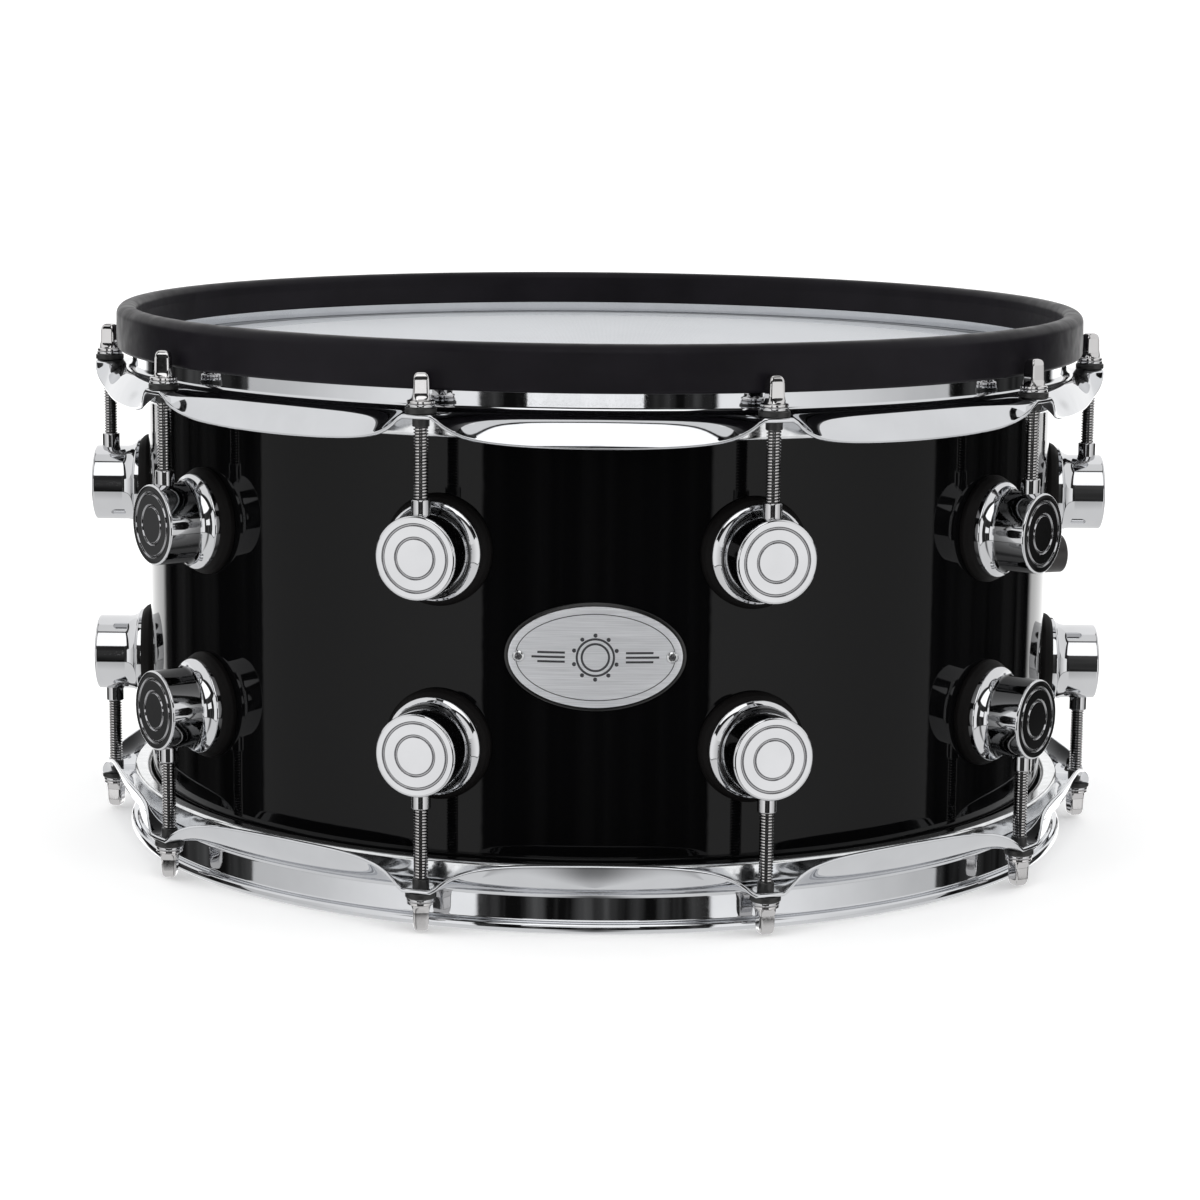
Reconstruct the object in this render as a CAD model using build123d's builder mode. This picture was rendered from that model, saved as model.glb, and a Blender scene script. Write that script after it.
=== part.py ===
"""Fourteen inch by seven inch snare drum with a mesh head and built-in triggers.

Millimetres. +Z is up along the drum's axis, the front with the badge faces -Y, and the origin lies
on the axis in the plane on which the bottom hoop rests. The hardware is the same above and below:
the bottom set is the top set mirrored in the plane half way up the shell.
"""
from math import atan, cos, degrees, exp, radians, sin, tan
import os

from build123d import *

os.makedirs("parts", exist_ok=True)

# ---- driving dimensions -------------------------------------------------------------------------
shell_radius = 176.5            # outside of the lacquered shell
shell_wall = 7.5
shell_length = 177.8            # seven inches
shell_bottom = 9.1              # lower bearing edge above the resting plane
bearing_flat = 1.2              # width of the crest of each bearing edge

lug_count = 10                  # lug columns, at every 36 degrees from +X
lug_offset = 34.2               # lug centres above and below mid height
lug_face_radius = 14.65
lug_base_radius = 17.4
lug_reach = 199.0               # drum axis to the lug's outer face
gasket_radius = 19.6
gasket_thickness = 4.6

rod_circle = 193.2              # drum axis to each tension rod
rod_radius = 2.35
nut_radius = 3.4
running_gap = 0.05              # radial clearance between a rod and its nut

hoop_sheet = 1.6                # steel sheet thickness
hoop_flange_under = 179.6       # underside of the top hoop's flat flange
hoop_wall_inner = 180.8
hoop_bend_radius = 184.5        # where the skirt turns down from the flange
ear_length = 13.8               # strip length at an ear
skirt_length = 12.0             # strip length between the ears
skirt_droop = 62.0              # degrees, between the ears

cover_bottom = 188.5            # lower edge of the rubber rim cover
cover_inside_bottom = 191.9     # inside, a band of the hoop's wall shows between it and the head
cover_crest = 205.1
cover_radius = 188.2

badge_width, badge_height = 60.3, 35.4
badge_border = 1.3
badge_centre = 96.6             # height of the badge's centre

jack_angle = 18.0               # degrees from +X
jack_radius = 8.0
jack_reach = 203.0              # drum axis to the end of the socket barrel

bridge_turn = 18.0              # polar angle of the trigger bridge, in a gap between lug columns
bridge_height = 150.0

# ---- sizes that follow --------------------------------------------------------------------------
shell_top = shell_bottom + shell_length
mid_height = shell_bottom + shell_length / 2
lug_height = mid_height + lug_offset
shell_inner = shell_radius - shell_wall
mid_plane = Plane.XY.offset(mid_height)
lip_top = 2 * mid_height        # the top hoop's lip, as far above mid height as the floor is below
flange_top = hoop_flange_under + hoop_sheet
hoop_wall_outer = hoop_wall_inner + hoop_sheet
column_step = 360 / lug_count


def radial_plane(angle, height, radius=0.0):
    """Plane at a polar angle whose normal points out from the drum's axis and whose Y is up."""
    outward = Vector(cos(radians(angle)), sin(radians(angle)), 0)
    across = Vector(-sin(radians(angle)), cos(radians(angle)), 0)
    return Plane(origin=outward * radius + Vector(0, 0, height), x_dir=across, z_dir=outward)


def half_plane(angle):
    """Plane through the drum's axis: its X runs out at the polar angle, and its Y is up."""
    outward = Vector(cos(radians(angle)), sin(radians(angle)), 0)
    normal = Vector(sin(radians(angle)), -cos(radians(angle)), 0)
    return Plane(origin=(0, 0, 0), x_dir=outward, z_dir=normal)


def save(piece, name):
    """Label a finished piece and write it as its own STEP file."""
    piece.part.label = name
    export_step(piece.part, f"parts/{name}.step")


# ---- shell --------------------------------------------------------------------------------------
lug_screw_radius = 2.5
badge_screw_radius = 1.1
badge_screw_offset = 26.4       # along the shell, either side of the badge's centre
badge_screw_turn = degrees(badge_screw_offset / shell_radius)
jack_bush_radius = 5.5
bridge_screw_radius = 2.2
bridge_screw_height = bridge_height - 14

with BuildPart() as shell:
    with BuildSketch(Plane.XZ):
        edge_depth = (shell_wall - bearing_flat) / 2
        with BuildLine():
            Polyline(
                (shell_inner, shell_bottom + edge_depth),
                (shell_inner + edge_depth, shell_bottom),
                (shell_radius - edge_depth, shell_bottom),
                (shell_radius, shell_bottom + edge_depth),
                (shell_radius, shell_top - edge_depth),
                (shell_radius - edge_depth, shell_top),
                (shell_inner + edge_depth, shell_top),
                (shell_inner, shell_top - edge_depth),
                close=True,
            )
        make_face()
    revolve(axis=Axis.Z)
    for level in (mid_height - lug_offset, mid_height + lug_offset):
        for column in range(lug_count):
            with BuildSketch(radial_plane(column * column_step, level, shell_inner - 5)):
                Circle(lug_screw_radius + 0.3)
            extrude(amount=shell_wall + 10, mode=Mode.SUBTRACT)
    for turn in (-badge_screw_turn, badge_screw_turn):
        with BuildSketch(radial_plane(-90 + turn, badge_centre, shell_radius - 6)):
            Circle(badge_screw_radius)
        extrude(amount=10, mode=Mode.SUBTRACT)
    with BuildSketch(radial_plane(jack_angle, mid_height, shell_inner - 5)):
        Circle(jack_bush_radius + 0.2)
    extrude(amount=shell_wall + 10, mode=Mode.SUBTRACT)
    for turn in (bridge_turn, bridge_turn + 180):
        with BuildSketch(radial_plane(turn, bridge_screw_height, shell_inner - 5)):
            Circle(bridge_screw_radius + 0.05)
        extrude(amount=shell_wall + 2, mode=Mode.SUBTRACT)
save(shell, "shell")

# ---- badge --------------------------------------------------------------------------------------
backing_thickness = 0.8
plate_thickness = 0.8


def curved_oval(half_width, half_height, inner, outer):
    """Oval sheet bent round the drum between two radii."""
    with BuildPart() as sheet:
        with BuildSketch(radial_plane(-90, badge_centre, shell_radius - 10)):
            Ellipse(half_width, half_height)
        extrude(amount=20)
        with BuildSketch(Plane.XY):
            Circle(outer)
            Circle(inner, mode=Mode.SUBTRACT)
        extrude(amount=2 * mid_height, mode=Mode.INTERSECT)
        for turn in (-badge_screw_turn, badge_screw_turn):
            with BuildSketch(radial_plane(-90 + turn, badge_centre, shell_radius - 10)):
                Circle(badge_screw_radius)
            extrude(amount=20, mode=Mode.SUBTRACT)
    return sheet


badge_backing = curved_oval(
    badge_width / 2 + badge_border, badge_height / 2 + badge_border,
    shell_radius, shell_radius + backing_thickness,
)
save(badge_backing, "badge_backing")

badge_plate = curved_oval(
    badge_width / 2, badge_height / 2,
    shell_radius + backing_thickness, shell_radius + backing_thickness + plate_thickness,
)
save(badge_plate, "badge_plate")

badge_face = shell_radius + backing_thickness + plate_thickness
badge_screw_head = 2.15
with BuildPart() as badge_screws:
    for turn in (-badge_screw_turn, badge_screw_turn):
        with BuildSketch(radial_plane(-90 + turn, badge_centre, badge_face)):
            Circle(badge_screw_head)
        extrude(amount=0.9, taper=18)
        with BuildSketch(radial_plane(-90 + turn, badge_centre, shell_radius - 5.5)):
            Circle(badge_screw_radius - 0.05)
        extrude(amount=badge_face - shell_radius + 5.6)
        with BuildSketch(radial_plane(-90 + turn, badge_centre, badge_face + 0.4)):
            Rectangle(2.2, 0.5)
            Rectangle(0.5, 2.2)
        extrude(amount=2, mode=Mode.SUBTRACT)
save(badge_screws, "badge_screws")

# ---- lugs ---------------------------------------------------------------------------------------
gasket_face = shell_radius + gasket_thickness
lug_root = 174.0                # the blank starts inside the gasket and is cut to the shell's curve
flare_radius = 5.5
flare_start = 5.9               # the concave flare meets the barrel this far above the base
flare_lean = radians(34)        # between the lug's axis and the flare's normal at the rim
nut_bottom = lug_height + 5.0
groove_depth = 0.35

with BuildPart() as one_lug:
    with BuildSketch(half_plane(0)):
        with BuildLine():
            barrel_foot = (gasket_face + flare_start, lug_height + lug_face_radius)
            rim = (
                barrel_foot[0] - flare_radius * cos(flare_lean),
                barrel_foot[1] + flare_radius * (1 - sin(flare_lean)),
            )
            Polyline(
                (lug_root, lug_height),
                (lug_root, lug_height + lug_base_radius),
                (rim[0] - 0.5, lug_height + lug_base_radius),
                rim,
            )
            RadiusArc(rim, barrel_foot, -flare_radius)
            Polyline(
                barrel_foot,
                (lug_reach - 0.8, lug_height + lug_face_radius),
                (lug_reach, lug_height + lug_face_radius - 0.8),
                (lug_reach, lug_height),
                (lug_root, lug_height),
            )
        make_face()
    revolve(axis=Axis((0, 0, lug_height), (1, 0, 0)))
    with BuildSketch(Plane.XY):
        Circle(gasket_face)
    extrude(amount=2 * mid_height, mode=Mode.SUBTRACT)
    for groove in (0.79, 0.475):
        with BuildSketch(radial_plane(0, lug_height, lug_reach)):
            Circle(groove * lug_face_radius + 0.4)
            Circle(groove * lug_face_radius - 0.4, mode=Mode.SUBTRACT)
        extrude(amount=-groove_depth, mode=Mode.SUBTRACT)
    with BuildSketch(radial_plane(0, lug_height, lug_root)):
        Circle(11.5)
        Circle(5.0, mode=Mode.SUBTRACT)
    extrude(amount=13.0, mode=Mode.SUBTRACT)
    with BuildSketch(radial_plane(0, lug_height, lug_root)):
        Circle(lug_screw_radius)
    extrude(amount=13.0, mode=Mode.SUBTRACT)
    with BuildSketch(Plane.XY.offset(nut_bottom)):
        with Locations((rod_circle, 0)):
            Circle(nut_radius)
    extrude(amount=20, mode=Mode.SUBTRACT)

with BuildPart() as top_lugs:
    with PolarLocations(0, lug_count):
        add(one_lug.part)
save(top_lugs, "top_lugs")

with BuildPart() as one_gasket:
    with BuildSketch(half_plane(0)):
        with BuildLine():
            Polyline(
                (shell_radius - 10, lug_height),
                (shell_radius - 10, lug_height + gasket_radius),
                (shell_radius + 1.2, lug_height + gasket_radius),
                (gasket_face - 1.4, lug_height + gasket_radius - 0.7),
                (gasket_face, lug_height + lug_base_radius + 0.2),
                (shell_radius + 10, lug_height + lug_base_radius + 0.2),
                (shell_radius + 10, lug_height),
                close=True,
            )
        make_face()
    revolve(axis=Axis((0, 0, lug_height), (1, 0, 0)))
    with BuildSketch(Plane.XY):
        Circle(gasket_face)
        Circle(shell_radius, mode=Mode.SUBTRACT)
    extrude(amount=2 * mid_height, mode=Mode.INTERSECT)
    with BuildSketch(radial_plane(0, lug_height, shell_radius - 10)):
        Circle(lug_screw_radius + 0.3)
    extrude(amount=20, mode=Mode.SUBTRACT)

with BuildPart() as top_lug_gaskets:
    with PolarLocations(0, lug_count):
        add(one_gasket.part)
save(top_lug_gaskets, "top_lug_gaskets")

# Each lug is held from inside the shell by one screw in its centre, over a curved washer.
washer_thickness = 1.5
washer_radius = 7.0
screw_head_radius = 4.3
with BuildPart() as one_lug_washer:
    with BuildSketch(radial_plane(0, lug_height, shell_inner - 10)):
        Circle(washer_radius)
        Circle(lug_screw_radius + 0.2, mode=Mode.SUBTRACT)
    extrude(amount=20)
    with BuildSketch(Plane.XY):
        Circle(shell_inner)
    extrude(amount=2 * mid_height, mode=Mode.INTERSECT)
    with BuildSketch(radial_plane(0, lug_height, 0)):
        Rectangle(40, 40)
    extrude(amount=shell_inner - washer_thickness, mode=Mode.SUBTRACT)

with BuildPart() as top_lug_washers:
    with PolarLocations(0, lug_count):
        add(one_lug_washer.part)
save(top_lug_washers, "top_lug_washers")

with BuildPart() as one_lug_screw:
    with BuildSketch(radial_plane(0, lug_height, shell_inner - washer_thickness - 3.2)):
        Circle(screw_head_radius)
        Rectangle(4.6, 1.0, mode=Mode.SUBTRACT)
    extrude(amount=3.2)
    with BuildSketch(radial_plane(0, lug_height, shell_inner - washer_thickness - 2.0)):
        Circle(lug_screw_radius)
    extrude(amount=18.0)

with BuildPart() as top_lug_screws:
    with PolarLocations(0, lug_count):
        add(one_lug_screw.part)
save(top_lug_screws, "top_lug_screws")

# ---- swivel nuts, rods, washers and bushings --------------------------------------------------------
nut_top = lug_height + 19.6
with BuildPart() as one_nut:
    with BuildSketch(half_plane(0)):
        with BuildLine():
            Polyline(
                (rod_circle, nut_bottom),
                (rod_circle + nut_radius, nut_bottom),
                (rod_circle + nut_radius, nut_top - 0.4),
                (rod_circle + nut_radius - 0.4, nut_top),
                (rod_circle, nut_top),
                close=True,
            )
        make_face()
    revolve(axis=Axis((rod_circle, 0, 0), (0, 0, 1)))
    with BuildSketch(Plane.XY.offset(nut_bottom)):
        with Locations((rod_circle, 0)):
            Circle(rod_radius + running_gap)
    extrude(amount=30, mode=Mode.SUBTRACT)

with BuildPart() as top_swivel_nuts:
    with PolarLocations(0, lug_count):
        add(one_nut.part)
save(top_swivel_nuts, "top_swivel_nuts")

bushing_flange = 2.0
bushing_radius = 5.45
bushing_sleeve = 2.95
bushing_tail = 3.0              # the sleeve shows this far under the ear
bushing_top = flange_top + bushing_flange
with BuildPart() as one_bushing:
    with BuildSketch(Plane.XY.offset(flange_top)):
        with Locations((rod_circle, 0)):
            Circle(bushing_radius)
    extrude(amount=bushing_flange)
    with BuildSketch(Plane.XY.offset(hoop_flange_under - bushing_tail)):
        with Locations((rod_circle, 0)):
            Circle(bushing_sleeve)
    extrude(amount=hoop_sheet + bushing_tail)
    with BuildSketch(Plane.XY.offset(hoop_flange_under - bushing_tail)):
        with Locations((rod_circle, 0)):
            Circle(rod_radius + running_gap)
    extrude(amount=20, mode=Mode.SUBTRACT)

with BuildPart() as top_rod_bushings:
    with PolarLocations(0, lug_count):
        add(one_bushing.part)
save(top_rod_bushings, "top_rod_bushings")

rod_washer = 1.2
rod_washer_radius = 5.0
with BuildPart() as one_rod_washer:
    with BuildSketch(Plane.XY.offset(bushing_top)):
        with Locations((rod_circle, 0)):
            Circle(rod_washer_radius)
            Circle(rod_radius + 0.15, mode=Mode.SUBTRACT)
    extrude(amount=rod_washer)

with BuildPart() as top_rod_washers:
    with PolarLocations(0, lug_count):
        add(one_rod_washer.part)
save(top_rod_washers, "top_rod_washers")

# A rod hangs by its collar just clear of the washer and ends blind inside the swivel nut.
collar_bottom = bushing_top + rod_washer + 0.05
collar_radius = 4.85
collar_thickness = 1.2
key_side = 5.6
key_top = lip_top - 0.8
rod_end = nut_bottom + 4.0
with BuildPart() as one_rod:
    with BuildSketch(half_plane(0)):
        with BuildLine():
            Polyline(
                (rod_circle, rod_end),
                (rod_circle + rod_radius - 0.5, rod_end),
                (rod_circle + rod_radius, rod_end + 0.5),
                (rod_circle + rod_radius, collar_bottom),
                (rod_circle + collar_radius, collar_bottom),
                (rod_circle + collar_radius, collar_bottom + collar_thickness),
                (rod_circle + 3.4, collar_bottom + collar_thickness + 1.6),
                (rod_circle, collar_bottom + collar_thickness + 1.6),
                close=True,
            )
        make_face()
    revolve(axis=Axis((rod_circle, 0, 0), (0, 0, 1)))
    with BuildSketch(Plane.XY.offset(collar_bottom + 1)):
        with Locations((rod_circle, 0)):
            RectangleRounded(key_side, key_side, 0.6)
    extrude(amount=key_top - collar_bottom - 1)
    chamfer(one_rod.faces().sort_by(Axis.Z)[-1].edges(), 0.5)

# ---- hoops --------------------------------------------------------------------------------------
lip_radius = 185.2
lip_depth = 3.9
bearing_line = hoop_flange_under + hoop_sheet / 2   # middle of the flange's sheet
ear_half_angle = 1.7            # degrees of flat ear either side of the rod
ear_slope = 0.6                 # degrees that even the ear leans down
droop_rate = 3.7                # degrees over which the skirt turns down
ear_rate = 4.2                  # degrees over which the ear narrows to the skirt
start_bulge, end_bulge = 0.45, 0.22     # slopes off the chord with which the skirt starts and ends
skirt_stations = (0.0, 1.7, 2.4, 3.3, 4.5, 6.0, 8.2, 11.5, 18.0)
skirt_steps = (0.25, 0.55, 1.0)         # along the strip, from bend to tip


def skirt_outline(turn):
    """Section of the convex skirt strip at an angle from its ear, rooted inside the flange."""
    turned = 1 - exp(-max(0.0, turn - ear_half_angle) / droop_rate)
    droop = radians(ear_slope + (skirt_droop - ear_slope) * turned)
    length = skirt_length + (ear_length - skirt_length) * exp(-((turn / ear_rate) ** 2))
    first, last = (bulge * (0.015 + 0.985 * turned) for bulge in (start_bulge, end_bulge))
    half = hoop_sheet / 2
    bend = Vector(hoop_bend_radius, bearing_line)
    along = Vector(cos(droop), -sin(droop))
    across = Vector(sin(droop), cos(droop))
    root = Vector(hoop_wall_outer - 0.6, bearing_line)
    mitre = Vector(tan((droop - atan(first)) / 2), 1) * half
    upper = [root + Vector(0, half), bend + mitre]
    lower = [root - Vector(0, half), bend - mitre]
    for s in skirt_steps:
        rise = first * s * (1 - s) ** 2 + last * s * s * (1 - s)
        lean = first * (1 - s) * (1 - 3 * s) + last * s * (2 - 3 * s)
        middle = bend + (along * s + across * rise) * length
        normal = (across - along * lean).normalized() * half
        upper.append(middle + normal)
        lower.append(middle - normal)
    return upper + lower[::-1]


with BuildPart() as half_skirt:
    for station in skirt_stations:
        with BuildSketch(half_plane(station)):
            with BuildLine():
                Polyline(*[(p.X, p.Y) for p in skirt_outline(station)], close=True)
            make_face()
    loft(ruled=True)

with BuildPart() as skirt_sector:
    add(half_skirt.part)
    mirror(half_skirt.part, about=Plane.XZ)

with BuildPart() as top_hoop:
    with BuildSketch(Plane.XZ):
        with BuildLine():
            Polyline(
                (hoop_wall_inner, hoop_flange_under),
                (hoop_bend_radius - 0.6, hoop_flange_under),
                (hoop_bend_radius - 0.3, flange_top),
                (hoop_wall_outer + 0.6, flange_top + 0.6),
                (hoop_wall_outer, flange_top + 2.1),
                (hoop_wall_outer, lip_top - lip_depth),
                (lip_radius - 0.8, lip_top - lip_depth),
                (lip_radius, lip_top - lip_depth + 0.8),
                (lip_radius, lip_top - 0.8),
                (lip_radius - 0.8, lip_top),
                (hoop_wall_inner + 0.5, lip_top),
                (hoop_wall_inner, lip_top - 0.5),
                close=True,
            )
        make_face()
    revolve(axis=Axis.Z)
    with PolarLocations(0, lug_count):
        add(skirt_sector.part)
    with BuildSketch(Plane.XY.offset(hoop_flange_under - 5)):
        with PolarLocations(rod_circle, lug_count):
            Circle(bushing_sleeve + 0.1)
    extrude(amount=10, mode=Mode.SUBTRACT)
save(top_hoop, "top_hoop")

# ---- rubber rim cover -------------------------------------------------------------------------------
cover_inner = 178.9
with BuildPart() as rim_cover:
    with BuildSketch(Plane.XZ):
        with BuildLine():
            Polyline(
                (cover_inner, cover_inside_bottom),
                (hoop_wall_inner - 0.1, cover_inside_bottom),
                (hoop_wall_inner - 0.1, lip_top + 0.1),
                (lip_radius + 0.1, lip_top + 0.1),
                (lip_radius + 0.1, lip_top - lip_depth - 0.1),
                (hoop_wall_outer + 0.1, lip_top - lip_depth - 0.1),
                (hoop_wall_outer + 0.1, cover_bottom + 0.6),
                (hoop_wall_outer + 1.0, cover_bottom),
                (cover_radius - 0.9, cover_bottom),
                (cover_radius, cover_bottom + 0.9),
                (cover_radius + 0.1, cover_bottom + 8.5),
            )
            Spline(
                (cover_radius + 0.1, cover_bottom + 8.5),
                (cover_radius - 0.9, cover_crest - 2.9),
                (184.3, cover_crest),
                (181.2, cover_crest - 1.4),
                (180.2, cover_crest - 4.2),
                tangents=((0, 1), (-0.12, -1)),
            )
            Line((180.2, cover_crest - 4.2), (cover_inner, cover_inside_bottom))
        make_face()
    revolve(axis=Axis.Z)
save(rim_cover, "rim_cover")

# ---- heads --------------------------------------------------------------------------------------
flesh_top = hoop_flange_under
flesh_height = 7.8
flesh_inner = 177.9
flesh_outer = 183.6
head_sheet = 0.5
with BuildPart() as batter_flesh_hoop:
    with BuildSketch(Plane.XZ):
        with Locations(((flesh_inner + flesh_outer) / 2, flesh_top - flesh_height / 2)):
            RectangleRounded(flesh_outer - flesh_inner, flesh_height, 1.2)
    revolve(axis=Axis.Z)
save(batter_flesh_hoop, "batter_flesh_hoop")

with BuildPart() as batter_mesh:
    with BuildSketch(Plane.XZ):
        with BuildLine():
            Polyline(
                (0, shell_top),
                (flesh_inner - 1.9, shell_top),
                (flesh_inner - head_sheet, shell_top - 1.6),
                (flesh_inner - head_sheet, flesh_top - flesh_height + 1),
                (flesh_inner, flesh_top - flesh_height + 1),
                (flesh_inner, shell_top - 1.2),
                (flesh_inner - 1.6, shell_top + head_sheet),
                (0, shell_top + head_sheet),
                close=True,
            )
        make_face()
    revolve(axis=Axis.Z)
save(batter_mesh, "batter_mesh")

collar_inner = 162.5
collar_outer = 175.8
with BuildPart() as batter_collar_ring:
    with BuildSketch(Plane.XY.offset(shell_top + head_sheet)):
        Circle(collar_outer)
        Circle(collar_inner, mode=Mode.SUBTRACT)
    extrude(amount=0.3)
save(batter_collar_ring, "batter_collar_ring")

# ---- the mirrored lower set -----------------------------------------------------------------------
mirrored = {
    "bottom_lugs": top_lugs,
    "bottom_lug_gaskets": top_lug_gaskets,
    "bottom_lug_washers": top_lug_washers,
    "bottom_lug_screws": top_lug_screws,
    "bottom_swivel_nuts": top_swivel_nuts,
    "bottom_rod_bushings": top_rod_bushings,
    "bottom_rod_washers": top_rod_washers,
    "bottom_hoop": top_hoop,
    "resonant_flesh_hoop": batter_flesh_hoop,
    "resonant_film": batter_mesh,
}
for name, upper in mirrored.items():
    with BuildPart() as lower:
        mirror(upper.part, about=mid_plane)
    save(lower, name)

# The player leaves every key head at an angle of its own.
rod_axis = Axis((rod_circle, 0, 0), (0, 0, 1))
for column in range(lug_count):
    key_turn = (column * 65 + 20) % 90
    with BuildPart() as top_rod:
        add(one_rod.part.rotate(rod_axis, key_turn).rotate(Axis.Z, column * column_step))
    save(top_rod, f"top_rod_{column + 1}")
    with BuildPart() as bottom_rod:
        mirror(top_rod.part, about=mid_plane)
    save(bottom_rod, f"bottom_rod_{column + 1}")

# ---- output socket --------------------------------------------------------------------------------
socket_radius = 3.25            # takes a quarter inch plug
jack_nut_thickness = 2.6
jack_washer_thickness = 1.0
flat_seat = shell_radius + 0.4  # the washer's flat face, just proud of the curved shell
with BuildPart() as jack_washer:
    with BuildSketch(radial_plane(jack_angle, mid_height, shell_radius - 3)):
        Circle(9.6)
        Circle(jack_bush_radius + 0.1, mode=Mode.SUBTRACT)
    extrude(amount=3 + 0.4 + jack_washer_thickness)
    with BuildSketch(Plane.XY):
        Circle(shell_radius)
    extrude(amount=2 * mid_height, mode=Mode.SUBTRACT)
save(jack_washer, "jack_washer")

nut_seat = flat_seat + jack_washer_thickness
with BuildPart() as jack_nut:
    with BuildSketch(radial_plane(jack_angle, mid_height, nut_seat)):
        RegularPolygon(8.6, 6)
        Circle(jack_bush_radius, mode=Mode.SUBTRACT)
    extrude(amount=jack_nut_thickness)
save(jack_nut, "jack_nut")

barrel_start = nut_seat + jack_nut_thickness
with BuildPart() as jack_barrel:
    with BuildSketch(radial_plane(jack_angle, mid_height, barrel_start)):
        Circle(jack_radius)
    extrude(amount=jack_reach - barrel_start)
    chamfer(jack_barrel.faces().sort_by(Axis((0, 0, 0), (cos(radians(jack_angle)),
            sin(radians(jack_angle)), 0)))[-1].edges(), 0.7)
    with BuildSketch(radial_plane(jack_angle, mid_height, shell_inner - 2)):
        Circle(jack_bush_radius)
    extrude(amount=barrel_start - shell_inner + 3)
    with BuildSketch(radial_plane(jack_angle, mid_height, shell_inner - 4)):
        Circle(socket_radius)
    extrude(amount=jack_reach - shell_inner + 10, mode=Mode.SUBTRACT)
save(jack_barrel, "jack_barrel")

body_depth = 16.0
with BuildPart() as jack_body:
    with BuildSketch(radial_plane(jack_angle, mid_height, shell_inner - 2 - body_depth)):
        RectangleRounded(18, 18, 2)
    extrude(amount=body_depth)
    with BuildSketch(radial_plane(jack_angle, mid_height, shell_inner - body_depth)):
        Circle(socket_radius)
    extrude(amount=body_depth + 5, mode=Mode.SUBTRACT)
save(jack_body, "jack_body")

tab_drop = 4.0                  # the solder tabs lie this far below the socket's axis
tab_sheet = 0.6
with BuildPart() as jack_tabs:
    for across in (-5.0, 0.0, 5.0):
        tab_plane = radial_plane(jack_angle, mid_height, shell_inner - 2 - body_depth)
        with BuildSketch(tab_plane):
            with Locations((across, -tab_drop)):
                Rectangle(2.4, tab_sheet)
        extrude(amount=-6.0)
save(jack_tabs, "jack_tabs")

# ---- trigger system -------------------------------------------------------------------------------
bridge_width = 30.0
bridge_sheet = 2.0
bridge_span = shell_inner - 3.0
foot_drop = 24.0
with BuildPart() as trigger_bridge:
    with BuildSketch(Plane.XY.offset(bridge_height)):
        Rectangle(2 * bridge_span, bridge_width)
    extrude(amount=bridge_sheet)
    for side in (-1, 1):
        with BuildSketch(Plane.XY.offset(bridge_height - foot_drop)):
            with Locations((side * (bridge_span - bridge_sheet / 2), 0)):
                Rectangle(bridge_sheet, bridge_width)
        extrude(amount=foot_drop + bridge_sheet / 2)
    for side in (-1, 1):
        with BuildSketch(Plane.XY.offset(bridge_height)):
            with Locations((0, side * (bridge_width / 2 - bridge_sheet / 2))):
                Rectangle(2 * bridge_span - 40, bridge_sheet)
        extrude(amount=-8.0)
    with BuildSketch(Plane.YZ.offset(-bridge_span - 5)):
        with Locations((0, bridge_screw_height)):
            Circle(bridge_screw_radius + 0.1)
    extrude(amount=2 * bridge_span + 10, mode=Mode.SUBTRACT)
trigger_bridge.part = trigger_bridge.part.rotate(Axis.Z, bridge_turn)
save(trigger_bridge, "trigger_bridge")

with BuildPart() as bridge_fixings:
    for turn in (bridge_turn, bridge_turn + 180):
        with BuildSketch(radial_plane(turn, bridge_screw_height, bridge_span - 5.5)):
            Circle(4.0)
        extrude(amount=3.5)
        with BuildSketch(radial_plane(turn, bridge_screw_height, bridge_span - 3)):
            Circle(bridge_screw_radius)
        extrude(amount=9.5)
save(bridge_fixings, "bridge_fixings")

plate_top = bridge_height + bridge_sheet + 10.0
with BuildPart() as trigger_plate:
    with BuildSketch(Plane.XY.offset(plate_top - 2.0)):
        Circle(26.0)
    extrude(amount=2.0)
    with BuildSketch(Plane.XY.offset(bridge_height + bridge_sheet)):
        with PolarLocations(11.0, 3):
            Circle(3.0)
    extrude(amount=8.0)
save(trigger_plate, "trigger_plate")

with BuildPart() as head_piezo:
    with BuildSketch(Plane.XY.offset(plate_top)):
        Circle(17.5)
    extrude(amount=0.4)
    with BuildSketch(Plane.XY.offset(plate_top + 0.4)):
        Circle(12.0)
    extrude(amount=0.4)
save(head_piezo, "head_piezo")

with BuildPart() as trigger_cone:
    with BuildSketch(Plane.XY.offset(plate_top + 0.8)):
        Circle(20.0)
    with BuildSketch(Plane.XY.offset(shell_top)):
        Circle(9.0)
    loft()
save(trigger_cone, "trigger_cone")

rim_piezo_angle = -18.0
rim_piezo_height = 128.0
pad_face = shell_inner - 4.2
with BuildPart() as rim_piezo_pad:
    with BuildSketch(radial_plane(rim_piezo_angle, rim_piezo_height, pad_face)):
        Circle(15.0)
    extrude(amount=10)
    with BuildSketch(Plane.XY):
        Circle(shell_inner)
    extrude(amount=2 * mid_height, mode=Mode.INTERSECT)
save(rim_piezo_pad, "rim_piezo_pad")

with BuildPart() as rim_piezo:
    with BuildSketch(radial_plane(rim_piezo_angle, rim_piezo_height, pad_face)):
        Circle(13.5)
    extrude(amount=-0.4)
    with BuildSketch(radial_plane(rim_piezo_angle, rim_piezo_height, pad_face - 0.4)):
        Circle(9.5)
    extrude(amount=-0.4)
save(rim_piezo, "rim_piezo")


# Two thin leads run inside the shell from the piezos to the socket's tabs.
lead_radius = 1.0


def inside(angle, radius, height):
    """Point at a polar angle, radius and height."""
    return (radius * cos(radians(angle)), radius * sin(radians(angle)), height)


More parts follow.
